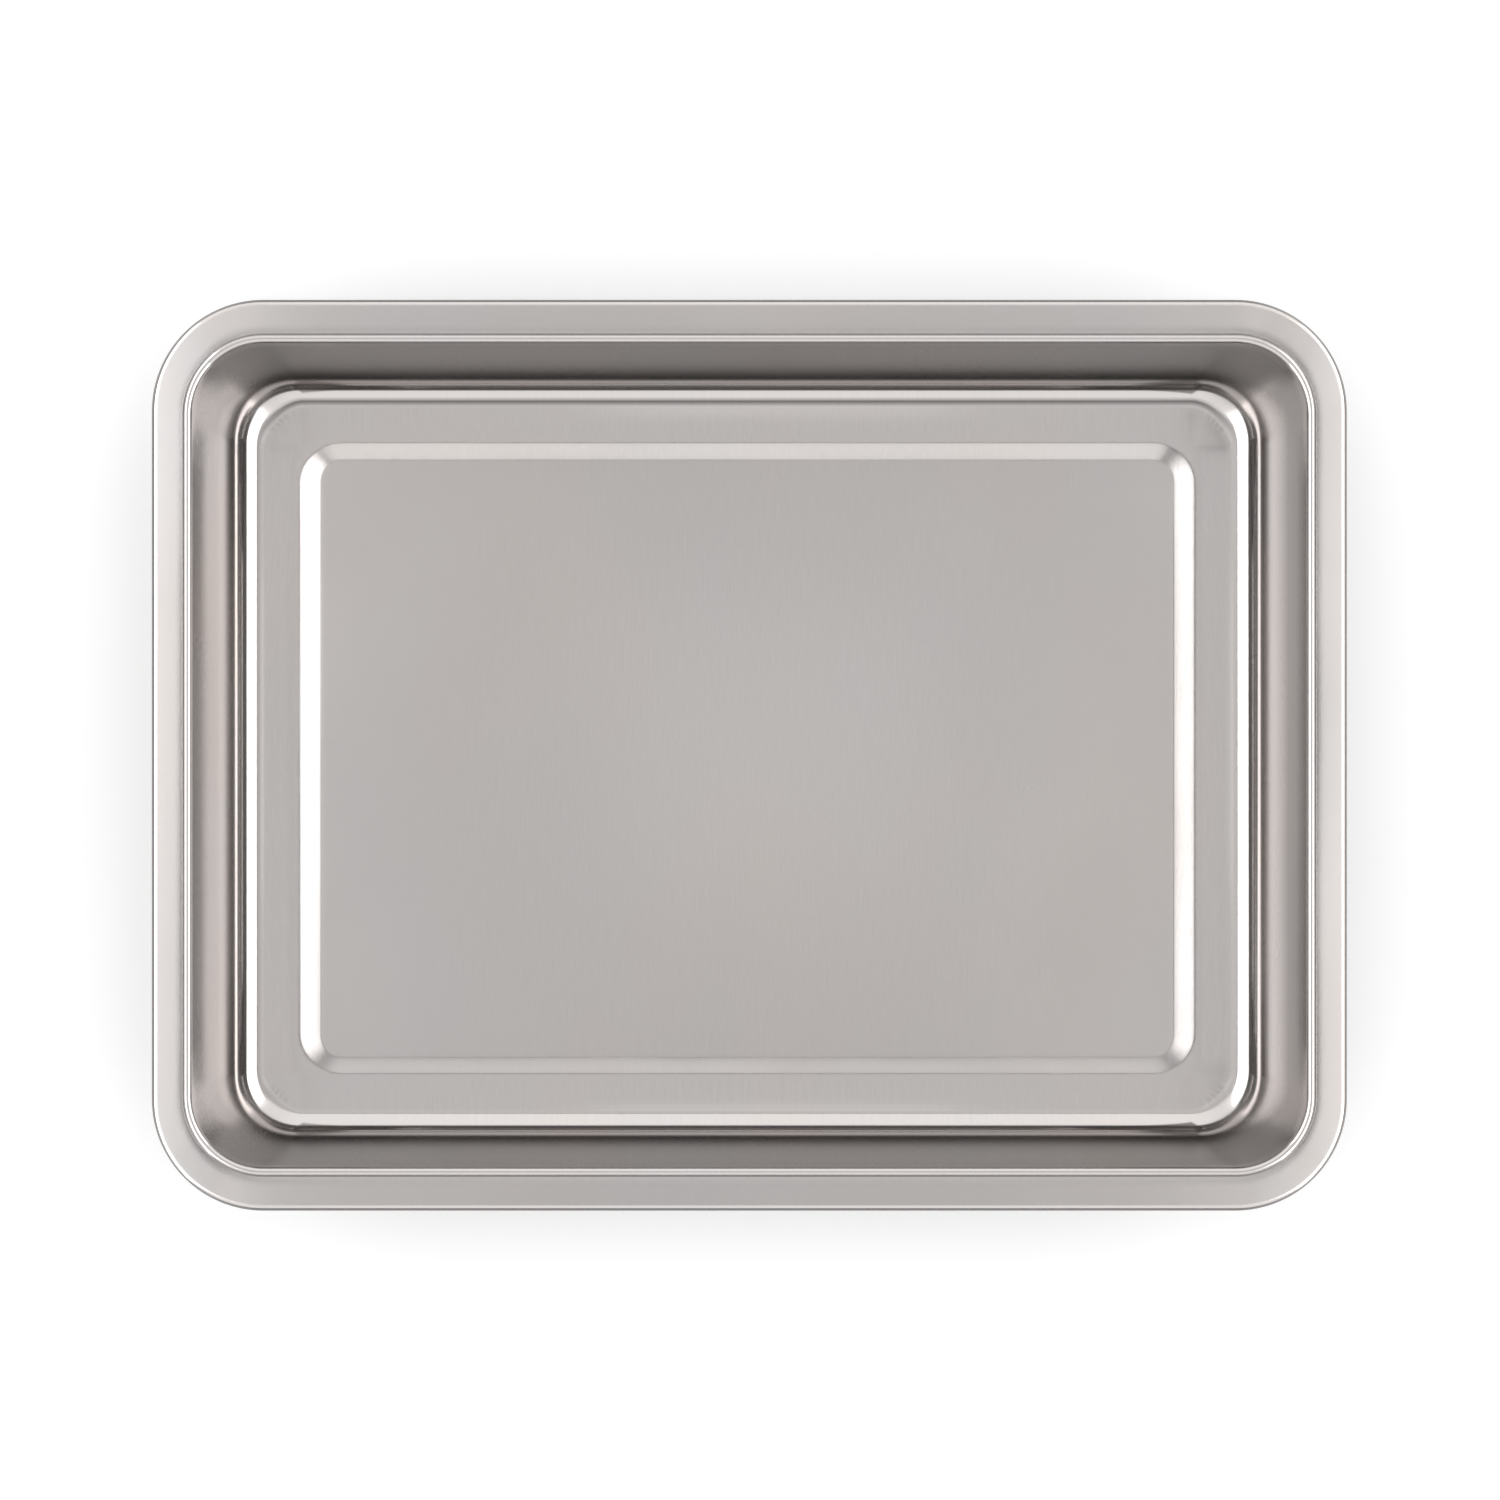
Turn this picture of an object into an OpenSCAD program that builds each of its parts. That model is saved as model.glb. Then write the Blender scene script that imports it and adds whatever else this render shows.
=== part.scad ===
// Deep drawn stainless sheet pan with a rolled, wired rim and a raised floor panel.
// The pan stands on the ring of floor around the panel: Z = 0 is the underside of that ring,
// the origin is at the middle, and X runs along the pan's length.

/* [Rim] */
// Length over the rim
rim_l = 400; // [320:1:500]
// Width over the rim
rim_w = 305; // [240:1:400]
// Corner radius of the rim's outer edge
rim_corner_r = 37.5; // [32:0.5:60]
// Width of the rim at the two ends, from its outer edge to the crown of the bead
rim_end_w = 12.6; // [9:0.1:16]
// The same width along the two long sides
rim_side_w = 13.6; // [9:0.1:16]
// How much smaller the bead's corner radius is than the rim's
bead_corner_drop = 12; // [9:0.5:14]
// Outer radius of the rolled edge
curl_r = 2.5; // [1.6:0.1:3.5]
// How far the edge is rolled under, in degrees
curl_turn = 300; // [180:5:310]
// Radius of the bead between the rim and the wall
bead_r = 1.5; // [1.2:0.1:2.5]

/* [Bowl] */
// Height from the base to the crown of the bead
pan_h = 50; // [30:1:70]
// Thickness of the sheet
sheet_t = 0.7; // [0.5:0.1:1]
// How far the walls lean out, in degrees
wall_draft = 1; // [0.5:0.1:5]
// Inside radius between the wall and the floor
floor_fillet_r = 8.7; // [5:0.1:12]

/* [Raised panel] */
// Width of the flat ring of floor around the panel's slope
ring_w = 12.3; // [6:0.1:30]
// Corner radius of the slope's foot
foot_corner_r = 15.4; // [10:0.2:40]
// Width of the slope seen from above
slope_w = 7.7; // [4:0.1:9]
// Height of the panel above the ring of floor
panel_rise = 0.5; // [0.3:0.1:3]

/* [Rim wire] */
// Play between the wire and the inside of the rolled edge
wire_play = 0.05; // [0.02:0.01:0.2]
// Gap between the two cut ends of the wire
wire_gap = 1; // [0.5:0.1:5]

/* [Hidden] */
$fn = 96;
// Steps in a quarter turn of a plate's outline
corner_steps = 24;

// A section's flat ends are this wide, and the plates between the sections start half way
// into them, so that they are one sheet
seam = 1;
// The wall runs this far into its bends, each of its faces an inset inside theirs
wall_lap = 0.02;
wall_inset = 0.002;

// Underside of the rim's flat, which is level with the centre of the bead
rim_under_z = pan_h - bead_r;
// Height of the rolled edge's centre
curl_z = rim_under_z + sheet_t - curl_r;

// Outline that the crown of the bead follows
bead_l = rim_l - 2 * rim_end_w;
bead_w = rim_w - 2 * rim_side_w;
bead_corner_r = rim_corner_r - bead_corner_drop;

// Directions in the section: down along the wall, and square to it towards the inside
wall_down = [-sin(wall_draft), -cos(wall_draft)];
wall_in = [-cos(wall_draft), sin(wall_draft)];

// The straight of the wall runs from the bead to the fillet, whose centre lies level with
// the fillet's own radius above the floor
bead_to_fillet = bead_r + floor_fillet_r;
fillet_z = sheet_t + floor_fillet_r;
wall_len = (rim_under_z + bead_to_fillet * wall_in.y - fillet_z) / cos(wall_draft);
fillet_x = bead_to_fillet * wall_in.x + wall_len * wall_down.x;

// Flat floor out to where the fillet starts
floor_l = bead_l + 2 * fillet_x;
floor_w = bead_w + 2 * fillet_x;
floor_corner_r = bead_corner_r + fillet_x;

// Foot and crest of the slope around the raised panel
foot_l = floor_l - 2 * ring_w;
foot_w = floor_w - 2 * ring_w;
crest_l = foot_l - 2 * slope_w;
crest_w = foot_w - 2 * slope_w;
crest_corner_r = foot_corner_r - slope_w;

// The wire fills the rolled edge but for its play
wire_d = 2 * (curl_r - sheet_t - wire_play);

// Rectangle with rounded corners, centred, grown all round by a margin
module rounded_rect(l, w, r, grow) {
    polygon([
        for (quarter = [0:3], step = [0:corner_steps])
            let (
                a = 90 * (quarter + step / corner_steps),
                side = [quarter % 3 == 0 ? 1 : -1, quarter < 2 ? 1 : -1]
            )
            [side.x * (l / 2 - r), side.y * (w / 2 - r)] + (r + grow) * [cos(a), sin(a)]
    ]);
}

// Carries a section around a rounded rectangle, quarter by quarter. In the section, X = 0 is
// the outline, X points away from the middle and Y points up.
module around(l, w, r) {
    straight = [l / 2 - r, w / 2 - r];
    for (x = [0, 1], y = [0, 1])
        mirror([x, 0, 0])
            mirror([0, y, 0])
                translate([straight.x, straight.y, 0]) {
                    rotate_extrude(angle = 90)
                        translate([r, 0])
                            children();
                    translate([r, 0, 0])
                        rotate([90, 0, 0])
                            linear_extrude(straight.y)
                                children();
                    translate([-straight.x, r, 0])
                        rotate([90, 0, 90])
                            linear_extrude(straight.x)
                                children();
                }
}

// Sheet bent round the origin between two angles, its outer face at radius r
module bend(r, from, to) {
    steps = ceil((to - from) / 60);
    difference() {
        intersection() {
            circle(r = r);
            polygon([
                [0, 0],
                for (i = [0:steps])
                    let (a = from + (to - from) * i / steps)
                    2 * r * [cos(a), sin(a)]
            ]);
        }
        circle(r = r - sheet_t);
    }
}

// Section of the rolled edge, with X = 0 at the rim's outer edge
module curl_section() {
    translate([-curl_r, curl_z]) {
        bend(curl_r, 90 - curl_turn, 90);
        translate([-seam, curl_r - sheet_t])
            square([seam, sheet_t]);
    }
}

// Section of the bead, the wall and the floor fillet, with X = 0 at the crown of the bead
module bowl_section() {
    bead_c = [0, rim_under_z];
    translate(bead_c)
        bend(bead_r, 0, 180 - wall_draft);
    wall_top = bead_c + (bead_r - wall_inset) * wall_in - wall_lap * wall_down;
    wall_foot = wall_top + (wall_len + 2 * wall_lap) * wall_down;
    to_outer_face = (2 * wall_inset - sheet_t) * wall_in;
    polygon([wall_top, wall_foot, wall_foot + to_outer_face, wall_top + to_outer_face]);
    translate([fillet_x, 0]) {
        translate([0, fillet_z])
            bend(floor_fillet_r + sheet_t, -90, -wall_draft);
        translate([-seam, 0])
            square([seam, sheet_t]);
    }
}

// Section of the slope that lifts the panel above the ring of floor
module slope_section() {
    polygon([
        [seam, 0],
        [seam, sheet_t],
        [0, sheet_t],
        [-slope_w, panel_rise + sheet_t],
        [-slope_w - seam, panel_rise + sheet_t],
        [-slope_w - seam, panel_rise],
        [-slope_w, panel_rise],
        [0, 0]
    ]);
}

// The pan is one piece of sheet, drawn to shape and rolled over at its edge
module pan_body() {
    color("silver") {
        around(rim_l, rim_w, rim_corner_r)
            curl_section();
        // Flat of the rim, from the rolled edge to the middle of the sheet in the bead
        translate([0, 0, rim_under_z])
            linear_extrude(sheet_t)
                difference() {
                    rounded_rect(rim_l, rim_w, rim_corner_r, -curl_r - seam / 2);
                    rounded_rect(bead_l, bead_w, bead_corner_r, bead_r - sheet_t / 2);
                }
        around(bead_l, bead_w, bead_corner_r)
            bowl_section();
        // Ring of floor that the pan stands on
        linear_extrude(sheet_t)
            difference() {
                rounded_rect(floor_l, floor_w, floor_corner_r, -seam / 2);
                rounded_rect(foot_l, foot_w, foot_corner_r, seam / 2);
            }
        around(foot_l, foot_w, foot_corner_r)
            slope_section();
        translate([0, 0, panel_rise])
            linear_extrude(sheet_t)
                rounded_rect(crest_l, crest_w, crest_corner_r, -seam / 2);
    }
}

// Round wire bent to the outline of the rim, with the rolled edge closed around it. Its two
// ends face each other at the middle of one long side.
module rim_wire() {
    color("dimgray")
        difference() {
            around(rim_l, rim_w, rim_corner_r)
                translate([-curl_r, curl_z])
                    circle(d = wire_d);
            translate([0, curl_r - rim_w / 2, curl_z])
                cube([wire_gap, 2 * wire_d, 2 * wire_d], center = true);
        }
}

pan_body();
rim_wire();
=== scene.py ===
from collections import namedtuple
import math

import bpy
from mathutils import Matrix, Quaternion, Vector


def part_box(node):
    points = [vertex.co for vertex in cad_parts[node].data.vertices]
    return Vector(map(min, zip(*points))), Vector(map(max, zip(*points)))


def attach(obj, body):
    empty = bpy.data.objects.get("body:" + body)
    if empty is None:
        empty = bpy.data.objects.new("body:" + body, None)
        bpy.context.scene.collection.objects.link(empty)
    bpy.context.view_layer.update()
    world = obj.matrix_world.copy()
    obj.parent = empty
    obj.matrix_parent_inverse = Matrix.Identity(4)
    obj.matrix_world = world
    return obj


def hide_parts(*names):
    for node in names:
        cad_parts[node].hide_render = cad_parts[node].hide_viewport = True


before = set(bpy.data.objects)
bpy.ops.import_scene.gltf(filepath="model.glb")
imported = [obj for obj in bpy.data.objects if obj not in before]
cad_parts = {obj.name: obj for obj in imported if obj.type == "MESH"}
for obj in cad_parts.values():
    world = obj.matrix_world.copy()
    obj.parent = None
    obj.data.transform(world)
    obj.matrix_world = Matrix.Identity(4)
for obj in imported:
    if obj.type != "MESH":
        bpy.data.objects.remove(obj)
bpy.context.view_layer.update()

# Sizes of the pan in metres. Its length, width and height are those of the frame.
MM = 0.001
pan_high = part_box("pan_body")[1]
RIM_HALF_LENGTH = pan_high.x
RIM_HALF_WIDTH = pan_high.y
PAN_HEIGHT = pan_high.z

SHEET = 0.7 * MM
RIM_CORNER = 37.5 * MM
RIM_END_WIDTH = 12.6 * MM
RIM_SIDE_WIDTH = 13.6 * MM
CURL_RADIUS = 2.5 * MM
CURL_TURN = math.radians(300)
BEAD_CORNER = 25.5 * MM
BEAD_RADIUS = 1.5 * MM
# The sheet turns up from the rim's flat into the bead in a tight hollow
HOLLOW_RADIUS = 0.35 * MM
# The rim's flat has its underside level with the middle of the bead
RIM_TOP = PAN_HEIGHT - BEAD_RADIUS + SHEET
WALL_LEAN = math.radians(1)
# Inwards from the crown of the bead to where the floor fillet starts
FLOOR_EDGE = 10.9 * MM
# The floor rises to the fillet in a bend this wide, on the straights and in the corners, and
# has turned up this far where it ends
RISE_WIDTH = 10 * MM
RISE_CORNER_WIDTH = 12 * MM
RISE_TURN = math.radians(5)
# Drawing the sheet into the corners left their floor bend rounder by this much
CORNER_ROUNDER = 1.1 * MM
FOOT_HALF_LENGTH = 164 * MM
FOOT_HALF_WIDTH = 115.7 * MM
FOOT_CORNER = 15.4 * MM
SLOPE_END_WIDTH = 8.5 * MM
SLOPE_SIDE_WIDTH = 6.9 * MM
CREST_CORNER = 7.5 * MM
PANEL_RISE = 0.5 * MM
# Share of the slope's width over which its foot and its crest are bent, to each side
SLOPE_BEND = 0.1

# Steps that the mesh takes round a corner, along a straight side, up the wall, across a flat,
# over the floor's gentle rise, over each half of a slope's bend and, at least, round any bend
CORNER_STEPS = 32
STRAIGHT_STEPS = 10
WALL_STEPS = 10
FLAT_STEPS = 3
RISE_STEPS = 5
SLOPE_BEND_STEPS = 3
FEWEST_STEPS = 3
# How far a bend turns in one step, and how far where it is tight or out of sight
FINE_BEND = math.radians(5)
COARSE_BEND = math.radians(10)
# Points on the straight part of the slope, and one on the panel beyond its bent crest, as
# shares of the slope's width
SLOPE_STRAIGHT_SHARES = (0.3, 0.5, 0.7)
PANEL_EDGE_SHARE = 0.15
# Flats get a line of points this close to a bend, so that they are shaded flat
FLAT_EDGE = 0.3 * MM
# A point this far off a flat's height lies on a bend
FLAT_STEP = 0.02 * MM

# The photograph's own measures of its camera, in pixels of its square frame: the side, the
# focal length and where the line straight down meets the picture
PHOTO_SIDE = 1500
PHOTO_FOCAL = 1485
PHOTO_AXIS_X = 725.4
PHOTO_AXIS_Y = 792
# The camera's sensor in millimetres, its place, and between which distances it sees
SENSOR = 36
CAMERA_X = -8 * MM
CAMERA_Y = -12.3 * MM
CAMERA_ABOVE_RIM = 495 * MM
CAMERA_NEAR = 10 * MM
CAMERA_FAR = 50

# Names of the sheet's map and of the two shares that say how dull and how burnished it is, which also
# carry the painted shade and the painted sheen of its colour
BLANK_MAP = "blank"
DULL_AND_SHADE_SHARE = "dull_and_shade_share"
BURNISH_AND_SHEEN_SHARE = "burnish_and_sheen_share"
# How dull the drawn wall is, and how dark its painted shade, at the left end, at the right end and along
# the two long sides, from 0 to 1, and the heights between which both set in there. The painted shade
# stands in for the dark reflections on the wall, which differ from side to side
DULL_AND_SHADE_LEFT = (0.7, 5 * MM, 27 * MM)
DULL_AND_SHADE_RIGHT = (0.95, 3.5 * MM, 34 * MM)
DULL_AND_SHADE_SIDE = (0.9, 3.2 * MM, 9 * MM)
# Below the crown of the bead the dullness and its painted shade set in between these depths
DULL_AND_SHADE_BELOW = (0.4 * MM, 1.1 * MM)
# How dull the groove between the bead and the rim is, with painted shade in it, at the ends and along
# the long sides, and the share of its hollow's radius that it reaches out from the bead
DULL_AND_SHADE_GROOVE = (1.0, 0.75)
GROOVE_SHARE = 0.25
# The rolled edge is dull and carries painted shade along the outline below these shares of its radius
# over its middle, fully and at all
DULL_AND_SHADE_CURL = (0.77, 0.93)
# How dull the crease at the foot of the fillet is, and how dark the painted shade line in it, along the
# back and at the left end, how far up the fillet from its start it lies and how wide it is to each side
DULL_AND_SHADE_CREASE = (1.0, 0.3, 2.4 * MM, 1.3 * MM)
# Share of its tone that a part with full painted shade keeps
PAINTED_SHADE_LEVEL = 0.2
# How burnished the slope and the ring of floor are, with painted sheen, from 0 to 1, and how many times
# as bright the painted sheen makes a fully burnished part
BURNISH_AND_SHEEN_SLOPE = 0.8
BURNISH_AND_SHEEN_RING = 0.7
PAINTED_SHEEN_LEVEL = 1.14
# Share of its burnish and painted sheen that the fillet loses in the corners
BURNISH_AND_SHEEN_LOST = 0.8
# Height at which the floor fillet has become the wall, and over what height below it the burnish and its
# painted sheen fade
FILLET_TOP = 10 * MM
FILLET_FADE = 3 * MM

# Roughness of the satin flats and of the bends that the tools burnished, and what full
# dullness, the streaks of the grain, the smears and the scratches add to it
SATIN_ROUGH = 0.2
BURNISHED_ROUGH = 0.1
DULL_ROUGH = 0.1
STREAK_ROUGH = -0.02
SMEAR_ROUGH = 0.03
SCRATCH_ROUGH = 0.08
# The steel's colour swings between these two, and keeps this share of its brightness between
# the streaks of the grain
WARM_STEEL = (0.785, 0.734, 0.708, 1)
COOL_STEEL = (0.764, 0.734, 0.724, 1)
BETWEEN_STREAKS = 0.95
# Heights of the sheet's slow swells and of its grain
SWELL_HEIGHT = 0.1 * MM
GRAIN_HEIGHT = 0.002 * MM
# The wire's colour, its least and most roughness, and the height and strength of its lines
WIRE_STEEL = (0.45, 0.45, 0.46, 1)
WIRE_ROUGH = (0.3, 0.42)
WIRE_LINE_HEIGHT = 0.02 * MM
WIRE_LINE_STRENGTH = 0.4

# Swings of each pattern in a metre along the pan, across it and upwards
FINE_STREAKS = (5200, 260, 1)
BROAD_STREAKS = (1500, 70, 1)
SMEARS = (14, 9, 14)
SCRATCH_BENDS = (30, 30, 30)
SCRATCHES = (900, 25, 1)
SCRATCHED_PARTS = (40, 12, 1)
TONE_PATCHES = (11, 7, 11)
SWELLS = (16, 16, 16)
WIRE_LINES = (300, 300, 3000)
# Values of a pattern's noise between which it goes from nothing to full
STREAK_SPAN = (0.3, 0.7)
SMEAR_SPAN = (0.45, 0.75)
SCRATCHED_SPAN = (0.6, 0.7)
PATCH_SPAN = (0.35, 0.65)
# A scratch lies where its noise is this close to its middle value, and the scratches sway
# about a point that lies this far off the middle of the sheet
NOISE_MIDDLE = 0.5
SCRATCH_SPAN = 0.004
SCRATCH_SHIFT = (4 * MM, 4 * MM, 0)
# Share of the fine streaks in the grain, with broad ones for the rest
FINE_SHARE = 0.55

# Level of the studio's lamps. At it a matt white facing up renders about white.
LEVEL = 0.77
# Level of the dim ceiling that only metal shows, and of the even light from all round
CEILING_LEVEL = 0.1
FILL_LEVEL = 0.04

# An upright soft lamp: how far off it stands, between which angles from straight up it is
# seen, in degrees, how far it reaches to its two sides, its brightness, and by how many
# degrees it is tilted in its own plane
UprightCard = namedtuple("UprightCard", "away steep flat near far brightness tilt")
LEFT_CARD = UprightCard(3.0, 22.4, 67, -3.0, 3.0, 2.3, -5)
RIGHT_CARD = UprightCard(3.0, 24.5, 67, -3.0, 3.0, 2.35, 0)
FRONT_CARD = UprightCard(3.0, 18.8, 72, -3.6, 3.6, 0.97, 0)
BACK_CARD = UprightCard(3.0, 20.2, 72, -3.0, 3.0, 1.05, 0)
# A soft lamp that hangs level above the pan: its height, its four edges and its brightness.
# The second is a faint glow just below the middle of the first.
LevelCard = namedtuple("LevelCard", "height left right front back brightness")
TOP_CARD = LevelCard(7.0, -2.55, 2.83, -2.2, 2.41, 0.63)
GLOW_CARD = LevelCard(6.9, -0.6, 1.1, -0.5, 1.0, 0.1)

# The ceiling is the top of a ball round the pan: its radius, the angles of its rings from
# straight up, in degrees, and how many sides it has
CEILING_RADIUS = 12
CEILING_ANGLES = range(3, 84, 8)
CEILING_SIDES = 48

# How far the floor reaches each way, its paint, and how much it glows to the camera and in
# the metal
FLOOR_REACH = 1.6
FLOOR_PAINT = (0.86, 0.86, 0.86, 1)
FLOOR_ROUGH = 0.9
FLOOR_GLOW = 0.25
WHITE = (1, 1, 1, 1)

Outline = namedtuple("Outline", "half_length half_width corner")
Station = namedtuple("Station", "quarter angle along depth")

RIM = Outline(RIM_HALF_LENGTH, RIM_HALF_WIDTH, RIM_CORNER)
BEAD = Outline(RIM_HALF_LENGTH - RIM_END_WIDTH, RIM_HALF_WIDTH - RIM_SIDE_WIDTH, BEAD_CORNER)
FOOT = Outline(FOOT_HALF_LENGTH, FOOT_HALF_WIDTH, FOOT_CORNER)
CREST = Outline(FOOT_HALF_LENGTH - SLOPE_END_WIDTH, FOOT_HALF_WIDTH - SLOPE_SIDE_WIDTH, CREST_CORNER)


def direction(angle):
    """Unit vector at an angle."""
    return Vector((math.cos(angle), math.sin(angle)))


def stations():
    """Places on the way round the pan, quarter by quarter: a corner, then the straight that
    follows it. The depth is 0 on the straights and 1 in the middle of a corner."""
    places = []
    for quarter in range(4):
        for step in range(CORNER_STEPS + 1):
            turn = math.pi / 2 * step / CORNER_STEPS
            depth = math.sin(2 * turn) ** 2
            places.append(Station(quarter, quarter * math.pi / 2 + turn, 0, depth))
        for step in range(1, STRAIGHT_STEPS):
            places.append(Station(quarter, (quarter + 1) * math.pi / 2, step / STRAIGHT_STEPS, 0))
    return places


def corner_centre(outline, quarter):
    """Centre of one of the outline's corners."""
    side_x = (1, -1, -1, 1)[quarter % 4]
    side_y = (1, 1, -1, -1)[quarter % 4]
    return Vector((side_x * (outline.half_length - outline.corner),
                   side_y * (outline.half_width - outline.corner)))


def on_outline(outline, station):
    """The outline's point at a station."""
    here = corner_centre(outline, station.quarter)
    following = corner_centre(outline, station.quarter + 1)
    return here.lerp(following, station.along) + outline.corner * direction(station.angle)


def bend(centre, radius, start, end, step):
    """Points of a section on an arc between two angles, with both ends."""
    count = max(FEWEST_STEPS, math.ceil(abs(end - start) / step))
    return [centre + radius * direction(start + (end - start) * i / count)
            for i in range(count + 1)]


def between(start, end, count):
    """Points of a section on a straight between two points, without them."""
    return [start.lerp(end, i / count) for i in range(1, count)]


def slope_shares():
    """Where the slope's section has points, as shares of the way from its foot to its crest."""
    steps = range(-SLOPE_BEND_STEPS, SLOPE_BEND_STEPS + 1)
    bent = [SLOPE_BEND * i / SLOPE_BEND_STEPS for i in steps]
    return bent + list(SLOPE_STRAIGHT_SHARES) + [1 + share for share in bent]


def slope_rise(share):
    """Height of the slope above the ring of floor, with its foot and crest softly bent."""
    if share < SLOPE_BEND:
        return PANEL_RISE * (share + SLOPE_BEND) ** 2 / (4 * SLOPE_BEND)
    if share > 1 - SLOPE_BEND:
        return PANEL_RISE * (1 - (1 + SLOPE_BEND - share) ** 2 / (4 * SLOPE_BEND))
    return PANEL_RISE * share


def slope_points(station, top):
    """The slope's points at one station, from the foot inwards, and a last one on the panel."""
    foot = on_outline(FOOT, station)
    crest = on_outline(CREST, station)
    points = []
    for share in slope_shares() + [1 + SLOPE_BEND + PANEL_EDGE_SHARE]:
        rise = PANEL_RISE if share > 1 + SLOPE_BEND else slope_rise(share)
        points.append(foot.lerp(crest, share).to_3d() + Vector((0, 0, top + rise)))
    return points


def square_to(turn):
    """Direction from a bend's centre to the sheet, where the sheet has turned up that far."""
    return Vector((math.sin(turn), -math.cos(turn)))


def rise_width(depth):
    """Width of the floor's rise at a station of that depth."""
    return RISE_WIDTH + (RISE_CORNER_WIDTH - RISE_WIDTH) * depth


def bowl_section(inner, depth):
    """Section of the floor's rise, the fillet and the wall on one face of the sheet, going up. X
    is measured outwards from the crown of the bead. The fillet is as wide as its way from the
    rise to the wall allows."""
    skin = 0 if inner else SHEET
    inward = Vector((-math.cos(WALL_LEAN), math.sin(WALL_LEAN)))
    bead = Vector((0, PAN_HEIGHT - BEAD_RADIUS))
    down = -math.pi / 2
    width = rise_width(depth)
    flat_end = Vector((-FLOOR_EDGE - CORNER_ROUNDER * depth - width, SHEET))
    gentle = width / math.sin(RISE_TURN)
    centre = flat_end + Vector((0, gentle))
    rise = bend(centre, gentle + skin, down, down + RISE_TURN, RISE_TURN / RISE_STEPS)
    foot = centre + gentle * square_to(RISE_TURN)
    radius = ((foot - bead).dot(inward) - BEAD_RADIUS) / (1 + inward.dot(square_to(RISE_TURN)))
    centre = foot - radius * square_to(RISE_TURN)
    arc = bend(centre, radius + skin, down + RISE_TURN, -WALL_LEAN, FINE_BEND)
    wall = between(arc[-1], bead + (BEAD_RADIUS - skin) * inward, WALL_STEPS)
    return [rise[0] - Vector((FLAT_EDGE, 0))] + rise + arc[1:] + wall


def bead_section(inner):
    """Section of the bead on one face of the sheet, from the wall over to the rim's flat."""
    centre = Vector((0, PAN_HEIGHT - BEAD_RADIUS))
    wall_side = math.pi - WALL_LEAN
    if not inner:
        arc = bend(centre, BEAD_RADIUS - SHEET, wall_side, 0, COARSE_BEND)
        return arc + [arc[-1] + Vector((FLAT_EDGE, 0))]
    rise = SHEET + HOLLOW_RADIUS
    reach = BEAD_RADIUS + HOLLOW_RADIUS
    hollow = Vector((math.sqrt(reach ** 2 - rise ** 2), rise))
    meeting = math.atan2(hollow.y, hollow.x)
    arc = bend(centre, BEAD_RADIUS, wall_side, meeting, FINE_BEND)
    turn_up = bend(centre + hollow, HOLLOW_RADIUS, meeting - math.pi, -math.pi / 2, COARSE_BEND)
    return arc + turn_up[1:] + [turn_up[-1] + Vector((FLAT_EDGE, 0))]


def curl_section(outer):
    """Section of the rolled edge on one face of the sheet, from the rim's flat to the cut edge.
    X is measured outwards from the rim's outer edge."""
    skin = 0 if outer else SHEET
    centre = Vector((-CURL_RADIUS, RIM_TOP - CURL_RADIUS))
    step = FINE_BEND if outer else COARSE_BEND
    arc = bend(centre, CURL_RADIUS - skin, math.pi / 2, math.pi / 2 - CURL_TURN, step)
    return [arc[0] - Vector((FLAT_EDGE, 0))] + arc


def placed(section, outline, station):
    """Points of a section set up on an outline at one station."""
    base = on_outline(outline, station)
    out = direction(station.angle)
    return [(base + out * point.x).to_3d() + Vector((0, 0, point.y)) for point in section]


def face_of_sheet(station, inner):
    """One face of the sheet at a station, from the panel out to the cut edge."""
    top = SHEET if inner else 0
    slope = slope_points(station, top)[::-1]
    bowl = placed(bowl_section(inner, station.depth) + bead_section(inner), BEAD, station)
    curl = placed(curl_section(inner), RIM, station)
    floor_ring = between(slope[-1], bowl[0], FLAT_STEPS)
    rim_flat = between(bowl[-1], curl[0], FLAT_STEPS)
    return slope + floor_ring + bowl + rim_flat + curl


def on_blank(station, points):
    """Where the points lay on the flat blank that the pan was drawn from."""
    out = direction(station.angle)
    foot = len(slope_shares())
    places = [point.to_2d() for point in points[:foot + 1]]
    length = 0
    for before, point in zip(points[foot:], points[foot + 1:]):
        length += (point - before).length
        places.append(places[foot] + out * length)
    return places


def clamped(value):
    """The value, kept from 0 to 1."""
    return max(0, min(1, value))


def beside_bead(station, point):
    """How far a point lies outwards from the crown of the bead."""
    return (point.to_2d() - on_outline(BEAD, station)).dot(direction(station.angle))


def in_groove(beside):
    """Whether a point so far outwards from the crown of the bead lies in the groove beside it."""
    return BEAD_RADIUS - HOLLOW_RADIUS < beside < BEAD_RADIUS + HOLLOW_RADIUS * GROOVE_SHARE


def past_edge(station, beside):
    """How far a point lies outwards from where the floor fillet starts."""
    return beside + FLOOR_EDGE + CORNER_ROUNDER * station.depth


def edge_dullness_and_shade(height):
    """How dull the rim and its rolled edge are at a height, with painted shade: all but their top is."""
    full, none = DULL_AND_SHADE_CURL
    over_middle = 1 + (height - RIM_TOP) / CURL_RADIUS
    return clamped((none - over_middle) / (none - full))


def wall_dullness_and_shade(station, height):
    """How dull the wall is, and how dark its painted shade, at a height: less towards the floor and just
    below the bead.
    """
    at_side = math.sin(station.angle) ** 2
    at_end = DULL_AND_SHADE_RIGHT if math.cos(station.angle) > 0 else DULL_AND_SHADE_LEFT
    most, low, high = (end + (side - end) * at_side for end, side in zip(at_end, DULL_AND_SHADE_SIDE))
    none, full = DULL_AND_SHADE_BELOW
    from_floor = (height - low) / (high - low)
    from_crown = (PAN_HEIGHT - height - none) / (full - none)
    return most * clamped(min(from_floor, from_crown))


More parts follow.
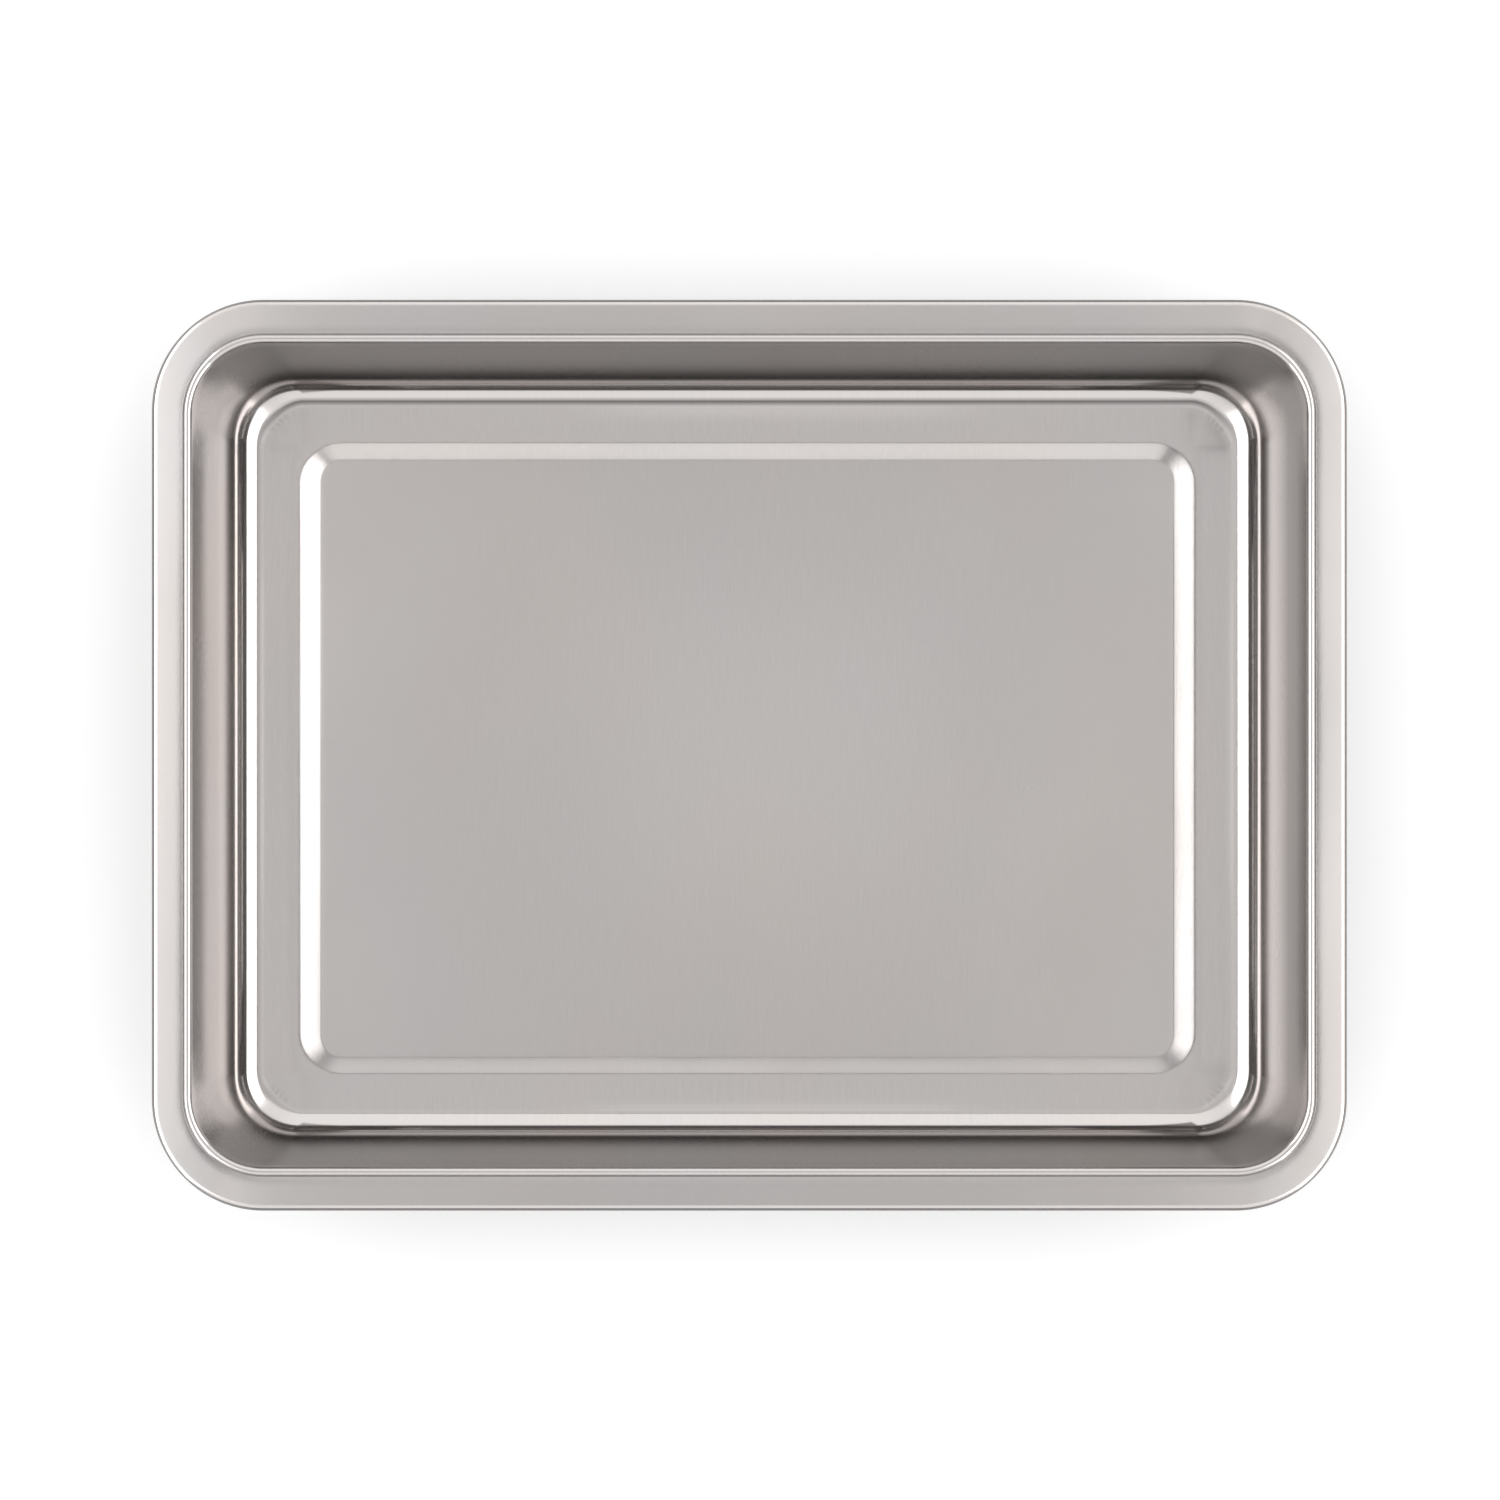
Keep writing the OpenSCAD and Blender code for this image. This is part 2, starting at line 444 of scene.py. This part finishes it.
def dull_and_shade_share(station, point):
    """How dull the sheet is at a point, and how much painted shade darkens its colour there. The wall,
    the crease at the foot of the fillet, the groove between the bead and the rim, and the rim and its
    rolled edge below their top are dull and carry painted shade, and the other parts are polished."""
    beside = beside_bead(station, point)
    if in_groove(beside):
        end, side = DULL_AND_SHADE_GROOVE
        return end + (side - end) * math.sin(station.angle) ** 2
    if beside > 0:
        return edge_dullness_and_shade(point.z)
    back, left, up, width = DULL_AND_SHADE_CREASE
    off_crease = abs(past_edge(station, beside) - up)
    if point.z >= FILLET_TOP or off_crease >= width:
        return wall_dullness_and_shade(station, point.z)
    outwards = direction(station.angle)
    most = back * max(0, outwards.y) ** 2 + left * max(0, -outwards.x) ** 2
    return most * (1 - off_crease / width)


def burnish_and_sheen_share(station, point, inner):
    """How much the tools burnished the sheet at a point, and how much painted sheen brightens its colour
    there:
    fully on the bead, the rolled edge, the underside of the rim and the straights of the floor fillet,
    less on the ring of floor and the slope, and least in the corners of the fillet. The rim's top, the
    wall and the panel stay satin."""
    beside = beside_bead(station, point)
    if beside > BEAD_RADIUS + HOLLOW_RADIUS:
        return 1 if point.z < RIM_TOP - FLAT_STEP else 0
    if point.z > RIM_TOP - BEAD_RADIUS:
        return 1
    past = past_edge(station, beside)
    if past > 0:
        below_wall = clamped((FILLET_TOP - point.z) / FILLET_FADE)
        share = BURNISH_AND_SHEEN_RING + (1 - BURNISH_AND_SHEEN_RING) * clamped(past / FLAT_EDGE)
        return share * (1 - BURNISH_AND_SHEEN_LOST * station.depth) * below_wall
    rise = point.z - (SHEET if inner else 0)
    if past > -rise_width(station.depth) - 2 * FLAT_EDGE or rise < FLAT_STEP:
        return BURNISH_AND_SHEEN_RING
    return BURNISH_AND_SHEEN_SLOPE if rise < PANEL_RISE - FLAT_STEP else 0


def faces_around(count, row):
    """Faces between so many sections of a row of points each, which stand in a closed round."""
    faces = []
    for i in range(count):
        here = i * row
        following = (i + 1) % count * row
        for j in range(row - 1):
            faces.append((here + j, here + j + 1, following + j + 1, following + j))
    return faces


def pan_mesh():
    """The whole sheet as one closed mesh, with a map that says where it lay on the blank and
    the two shares that say how dull and how burnished it is, which also carry its painted shade and
    painted sheen."""
    points = []
    blank = []
    dull_and_shade = []
    burnish_and_sheen = []
    places = stations()
    for station in places:
        inner = face_of_sheet(station, True)
        outer = face_of_sheet(station, False)
        points += inner + outer[::-1]
        blank += on_blank(station, inner) + on_blank(station, outer)[::-1]
        dull_and_shade += [dull_and_shade_share(station, point) for point in inner + outer[::-1]]
        burnish_and_sheen += [burnish_and_sheen_share(station, point, True) for point in inner]
        burnish_and_sheen += [burnish_and_sheen_share(station, point, False) for point in outer[::-1]]
    row = len(points) // len(places)
    panel_faces = [range(0, len(points), row), range(len(points) - 1, 0, -row)]
    mesh = bpy.data.meshes.new("pan_sheet")
    mesh.from_pydata(points, [], faces_around(len(places), row) + panel_faces)
    mesh.shade_smooth()
    lay_on_blank(mesh, blank)
    mesh.attributes.new(DULL_AND_SHADE_SHARE, "FLOAT", "POINT").data.foreach_set("value", dull_and_shade)
    mesh.attributes.new(BURNISH_AND_SHEEN_SHARE, "FLOAT", "POINT").data.foreach_set("value", burnish_and_sheen)
    return mesh


def lay_on_blank(mesh, places):
    """Gives the mesh its map of the blank, in metres."""
    layer = mesh.uv_layers.new(name=BLANK_MAP)
    for loop in mesh.loops:
        layer.uv[loop.index].vector = places[loop.vertex_index]


class Nodes:
    """Adds nodes to a node tree, fills in their inputs and links them."""

    def __init__(self, tree):
        self.tree = tree
        tree.nodes.clear()

    def add(self, kind, inputs=(), **settings):
        node = self.tree.nodes.new(kind)
        for name, value in settings.items():
            setattr(node, name, value)
        for name, value in dict(inputs).items():
            self.feed(node.inputs[name], value)
        return node

    def feed(self, socket, value):
        if isinstance(value, bpy.types.NodeSocket):
            self.tree.links.new(value, socket)
        else:
            socket.default_value = value

    def math(self, operation, *values):
        return self.add("ShaderNodeMath", enumerate(values), operation=operation).outputs[0]

    def vector(self, operation, first, second):
        inputs = {0: first, 1: second}
        return self.add("ShaderNodeVectorMath", inputs, operation=operation).outputs[0]

    def mixed(self, share, first, second):
        """A colour between two. The mix node keeps its colours in inputs 6 and 7 and output 2."""
        inputs = {0: share, 6: first, 7: second}
        return self.add("ShaderNodeMix", inputs, data_type="RGBA").outputs[2]

    def noise(self, place, swings, detail):
        """Noise from 0 to 1, with so many swings a metre each way."""
        spread = self.vector("MULTIPLY", place, swings)
        inputs = {"Vector": spread, "Scale": 1.0, "Detail": detail}
        return self.add("ShaderNodeTexNoise", inputs).outputs["Fac"]

    def ranged(self, value, low, high, to_low=0.0, to_high=1.0):
        inputs = {"Value": value, "From Min": low, "From Max": high, "To Min": to_low, "To Max": to_high}
        return self.add("ShaderNodeMapRange", inputs).outputs["Result"]

    def bump(self, height, distance, **inputs):
        inputs = {"Height": height, "Distance": distance, "Strength": 1.0, **inputs}
        return self.add("ShaderNodeBump", inputs).outputs["Normal"]


def node_group(name, inputs, outputs):
    """A node group with its sockets, its nodes and its two end nodes."""
    tree = bpy.data.node_groups.new(name, "ShaderNodeTree")
    for label, kind in inputs:
        tree.interface.new_socket(label, in_out="INPUT", socket_type="NodeSocket" + kind)
    for label, kind in outputs:
        tree.interface.new_socket(label, in_out="OUTPUT", socket_type="NodeSocket" + kind)
    nodes = Nodes(tree)
    return nodes, nodes.add("NodeGroupInput").outputs, nodes.add("NodeGroupOutput").inputs


def rolled_grain_group():
    """Fine streaks that rolling and brushing left along the sheet's width."""
    nodes, given, made = node_group(
        "rolled_grain", [("Place", "Vector")], [("Streaks", "Float"), ("Height", "Float")])
    fine = nodes.math("MULTIPLY", nodes.noise(given["Place"], FINE_STREAKS, 1), FINE_SHARE)
    broad = nodes.noise(given["Place"], BROAD_STREAKS, 2)
    streaks = nodes.math("MULTIPLY_ADD", broad, 1 - FINE_SHARE, fine)
    nodes.feed(made["Streaks"], nodes.ranged(streaks, *STREAK_SPAN))
    nodes.feed(made["Height"], streaks)
    return nodes.tree


def handling_group():
    """Traces of use: faint smears and a few hair scratches."""
    nodes, given, made = node_group(
        "handling", [("Place", "Vector")], [("Smears", "Float"), ("Scratches", "Float")])
    smeared = nodes.noise(given["Place"], SMEARS, 3)
    nodes.feed(made["Smears"], nodes.ranged(smeared, *SMEAR_SPAN))
    bends = nodes.noise(given["Place"], SCRATCH_BENDS, 1)
    bent = nodes.vector("MULTIPLY", nodes.vector("ADD", given["Place"], SCRATCH_SHIFT), bends)
    lines = nodes.noise(bent, SCRATCHES, 0)
    off_line = nodes.math("ABSOLUTE", nodes.math("SUBTRACT", lines, NOISE_MIDDLE))
    hair = nodes.ranged(off_line, 0.0, SCRATCH_SPAN, 1.0, 0.0)
    scratched = nodes.noise(given["Place"], SCRATCHED_PARTS, 1)
    sparse = nodes.ranged(scratched, *SCRATCHED_SPAN)
    nodes.feed(made["Scratches"], nodes.math("MULTIPLY", hair, sparse))
    return nodes.tree


def steel_tone_group():
    """The steel's colour, a little warmer and cooler from place to place, and how bright the
    grain leaves it, darkened by painted shade and brightened by painted sheen."""
    nodes, given, made = node_group(
        "steel_tone",
        [("Place", "Vector"), ("Streaks", "Float"), ("Painted Shade", "Float"), ("Painted Shade Level", "Float"),
         ("Painted Sheen", "Float"), ("Painted Sheen Level", "Float"), ("Warm", "Color"), ("Cool", "Color")],
        [("Color", "Color")])
    patches = nodes.ranged(nodes.noise(given["Place"], TONE_PATCHES, 2), *PATCH_SPAN)
    tone = nodes.mixed(patches, given["Cool"], given["Warm"])
    grained = nodes.ranged(given["Streaks"], 0.0, 1.0, BETWEEN_STREAKS, 1.0)
    # Painted shade darkens the colour and painted sheen brightens it
    painted_shade = nodes.ranged(given["Painted Shade"], 0.0, 1.0, 1.0, given["Painted Shade Level"])
    painted_sheen = nodes.ranged(given["Painted Sheen"], 0.0, 1.0, 1.0, given["Painted Sheen Level"])
    level = nodes.math("MULTIPLY", nodes.math("MULTIPLY", grained, painted_shade), painted_sheen)
    shade = nodes.add("ShaderNodeVectorMath", {0: tone, "Scale": level}, operation="SCALE")
    nodes.feed(made["Color"], shade.outputs[0])
    return nodes.tree


GRAIN = rolled_grain_group()
HANDLING = handling_group()
TONE = steel_tone_group()


def use_group(nodes, tree, inputs):
    """Puts a node group into a material and gives its outputs."""
    return nodes.add("ShaderNodeGroup", inputs, node_tree=tree).outputs


def new_material(name):
    """A material with that name, and its nodes, of which it has none yet."""
    material = bpy.data.materials.new(name)
    material.use_nodes = True
    return material, Nodes(material.node_tree)


def pan_steel():
    """Bright stainless sheet, satin along its grain."""
    material, nodes = new_material("pan_steel")
    place = nodes.add("ShaderNodeUVMap", uv_map=BLANK_MAP).outputs["UV"]
    body = nodes.add("ShaderNodeTexCoord").outputs["Object"]
    grain = use_group(nodes, GRAIN, {"Place": place})
    use = use_group(nodes, HANDLING, {"Place": place})
    # The dull share darkens the colour as painted shade and roughens it; the burnished share brightens
    # the colour as painted sheen and smooths it
    dull_and_shade = nodes.add("ShaderNodeAttribute", attribute_name=DULL_AND_SHADE_SHARE).outputs["Fac"]
    burnish_and_sheen = nodes.add("ShaderNodeAttribute", attribute_name=BURNISH_AND_SHEEN_SHARE).outputs["Fac"]
    tone = use_group(nodes, TONE, {
        "Place": place, "Streaks": grain["Streaks"], "Painted Shade": dull_and_shade, "Painted Shade Level": PAINTED_SHADE_LEVEL,
        "Painted Sheen": burnish_and_sheen, "Painted Sheen Level": PAINTED_SHEEN_LEVEL,
        "Warm": WARM_STEEL, "Cool": COOL_STEEL})
    rough = nodes.ranged(burnish_and_sheen, 0.0, 1.0, SATIN_ROUGH, BURNISHED_ROUGH)
    for mark, added in ((dull_and_shade, DULL_ROUGH), (grain["Streaks"], STREAK_ROUGH),
                        (use["Smears"], SMEAR_ROUGH), (use["Scratches"], SCRATCH_ROUGH)):
        rough = nodes.math("MULTIPLY_ADD", mark, added, rough)
    swelling = nodes.bump(nodes.noise(body, SWELLS, 1), SWELL_HEIGHT)
    grained = nodes.bump(grain["Height"], GRAIN_HEIGHT, Normal=swelling)
    steel = nodes.add("ShaderNodeBsdfPrincipled", {
        "Base Color": tone["Color"], "Metallic": 1.0, "Roughness": rough, "Normal": grained})
    nodes.add("ShaderNodeOutputMaterial", {"Surface": steel.outputs[0]})
    return material


def wire_steel():
    """Drawn steel wire, dull, with the drawing lines along it."""
    material, nodes = new_material("wire_steel")
    place = nodes.add("ShaderNodeTexCoord").outputs["Object"]
    lines = nodes.noise(place, WIRE_LINES, 2)
    rough = nodes.ranged(lines, *STREAK_SPAN, *WIRE_ROUGH)
    lined = nodes.bump(lines, WIRE_LINE_HEIGHT, Strength=WIRE_LINE_STRENGTH)
    steel = nodes.add("ShaderNodeBsdfPrincipled", {
        "Base Color": WIRE_STEEL, "Metallic": 1.0, "Roughness": rough, "Normal": lined})
    nodes.add("ShaderNodeOutputMaterial", {"Surface": steel.outputs[0]})
    return material


def in_scene(name, data):
    """An object of that name with that data, linked into the scene."""
    made = bpy.data.objects.new(name, data)
    bpy.context.scene.collection.objects.link(made)
    return made


def make_pan():
    """The drawn sheet in its finer form, in place of the plain one."""
    mesh = pan_mesh()
    mesh.materials.append(pan_steel())
    pan = in_scene("pan_sheet", mesh)
    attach(pan, "root")
    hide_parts("pan_body")


def dress_wire():
    """The rim wire keeps its shape and gets its steel."""
    wire = bpy.data.objects["rim_wire"]
    wire.data.materials.clear()
    wire.data.materials.append(wire_steel())


def slanting(distance, degrees):
    """Height at which something so far off is seen at that angle from straight up."""
    return distance / math.tan(math.radians(degrees))


def add_card(name, low, high, out, brightness, tilt=0):
    """A soft rectangular lamp between two opposite corners, as bright as written all over. It
    shines away from the direction out and is tilted in its own plane by so many degrees."""
    lamp = bpy.data.lights.new(name, "AREA")
    lamp.shape = "RECTANGLE"
    lamp.size, lamp.size_y = [size for size in high - low if size]
    lamp.energy = brightness * LEVEL * math.pi * lamp.size * lamp.size_y
    made = in_scene(name, lamp)
    made.location = (low + high) / 2
    made.rotation_mode = "QUATERNION"
    turn = Quaternion((0, 0, 1), math.radians(tilt))
    made.rotation_quaternion = out.to_track_quat("Z", "Y") @ turn
    made.visible_camera = False


def stand_card(name, out, card):
    """An upright lamp that stands in the direction out from the pan and shines back at it."""
    along = Vector((abs(out.y), abs(out.x), 0))
    low = out * card.away + along * card.near + Vector((0, 0, slanting(card.away, card.flat)))
    high = out * card.away + along * card.far + Vector((0, 0, slanting(card.away, card.steep)))
    add_card(name, low, high, out, card.brightness, card.tilt)


def hang_card(name, card):
    """A level lamp that hangs above the pan and shines down on it."""
    low = Vector((card.left, card.front, card.height))
    high = Vector((card.right, card.back, card.height))
    add_card(name, low, high, Vector((0, 0, 1)), card.brightness)


def light_studio():
    """Tall soft boxes at both ends and both sides of the pan, and two level ones above it."""
    stand_card("left_card", Vector((-1, 0, 0)), LEFT_CARD)
    stand_card("right_card", Vector((1, 0, 0)), RIGHT_CARD)
    stand_card("front_card", Vector((0, -1, 0)), FRONT_CARD)
    stand_card("back_card", Vector((0, 1, 0)), BACK_CARD)
    hang_card("top_card", TOP_CARD)
    hang_card("glow_card", GLOW_CARD)


def sees_background(nodes):
    """1 for rays that show the background, straight or in metal or glass, and 0 for the others."""
    path = nodes.add("ShaderNodeLightPath").outputs
    seen = nodes.math("MAXIMUM", path["Is Camera Ray"], path["Is Glossy Ray"])
    return nodes.math("MAXIMUM", seen, path["Is Transmission Ray"])


def white_surroundings():
    """White to the camera and in the metal, and a low even light on everything else."""
    world = bpy.data.worlds.new("surroundings")
    world.use_nodes = True
    bpy.context.scene.world = world
    nodes = Nodes(world.node_tree)
    strength = nodes.ranged(sees_background(nodes), 0.0, 1.0, FILL_LEVEL, 1.0)
    light = nodes.add("ShaderNodeBackground", {"Color": WHITE, "Strength": strength})
    nodes.add("ShaderNodeOutputWorld", {"Surface": light.outputs[0]})


def white_floor():
    """A pale floor that carries the pan's shadow and joins the white behind it."""
    mesh = bpy.data.meshes.new("floor")
    corners = [(x * FLOOR_REACH, y * FLOOR_REACH, 0) for x, y in ((-1, -1), (1, -1), (1, 1), (-1, 1))]
    mesh.from_pydata(corners, [], [range(4)])
    material, nodes = new_material("floor_white")
    glow = nodes.math("MULTIPLY", sees_background(nodes), FLOOR_GLOW)
    paint = nodes.add("ShaderNodeBsdfPrincipled", {
        "Base Color": FLOOR_PAINT, "Roughness": FLOOR_ROUGH,
        "Emission Color": WHITE, "Emission Strength": glow})
    nodes.add("ShaderNodeOutputMaterial", {"Surface": paint.outputs[0]})
    mesh.materials.append(material)
    in_scene("floor", mesh)


def ceiling_mesh():
    """The top of a ball round the pan, down to a little above the horizon."""
    rings = [CEILING_RADIUS * direction(math.radians(angle)) for angle in CEILING_ANGLES]
    points = []
    for i in range(CEILING_SIDES):
        side = direction(math.tau * i / CEILING_SIDES)
        points += [(side * out).to_3d() + Vector((0, 0, up)) for up, out in rings]
    middle_face = range(0, len(points), len(rings))
    mesh = bpy.data.meshes.new("ceiling")
    mesh.from_pydata(points, [], faces_around(CEILING_SIDES, len(rings)) + [middle_face])
    return mesh


def dim_ceiling():
    """The dim room over the studio, which only metal shows."""
    mesh = ceiling_mesh()
    material, nodes = new_material("ceiling_grey")
    grey = nodes.add("ShaderNodeEmission", {"Color": WHITE, "Strength": CEILING_LEVEL})
    nodes.add("ShaderNodeOutputMaterial", {"Surface": grey.outputs[0]})
    mesh.materials.append(material)
    ceiling = in_scene("ceiling", mesh)
    ceiling.visible_camera = False
    ceiling.visible_diffuse = False
    ceiling.visible_transmission = False
    ceiling.visible_volume_scatter = False
    ceiling.visible_shadow = False


def photo_camera():
    """The camera straight above the pan, a little off its middle, as in the photograph."""
    data = bpy.data.cameras.new("photo_camera")
    data.sensor_width = SENSOR
    data.lens = SENSOR * PHOTO_FOCAL / PHOTO_SIDE
    data.shift_x = (PHOTO_SIDE / 2 - PHOTO_AXIS_X) / PHOTO_SIDE
    data.shift_y = (PHOTO_AXIS_Y - PHOTO_SIDE / 2) / PHOTO_SIDE
    data.clip_start = CAMERA_NEAR
    data.clip_end = CAMERA_FAR
    camera = in_scene("photo_camera", data)
    camera.location = (CAMERA_X, CAMERA_Y, RIM_TOP + CAMERA_ABOVE_RIM)
    bpy.context.scene.camera = camera


make_pan()
dress_wire()
light_studio()
white_surroundings()
white_floor()
dim_ceiling()
photo_camera()
bpy.context.scene.view_settings.view_transform = "Standard"
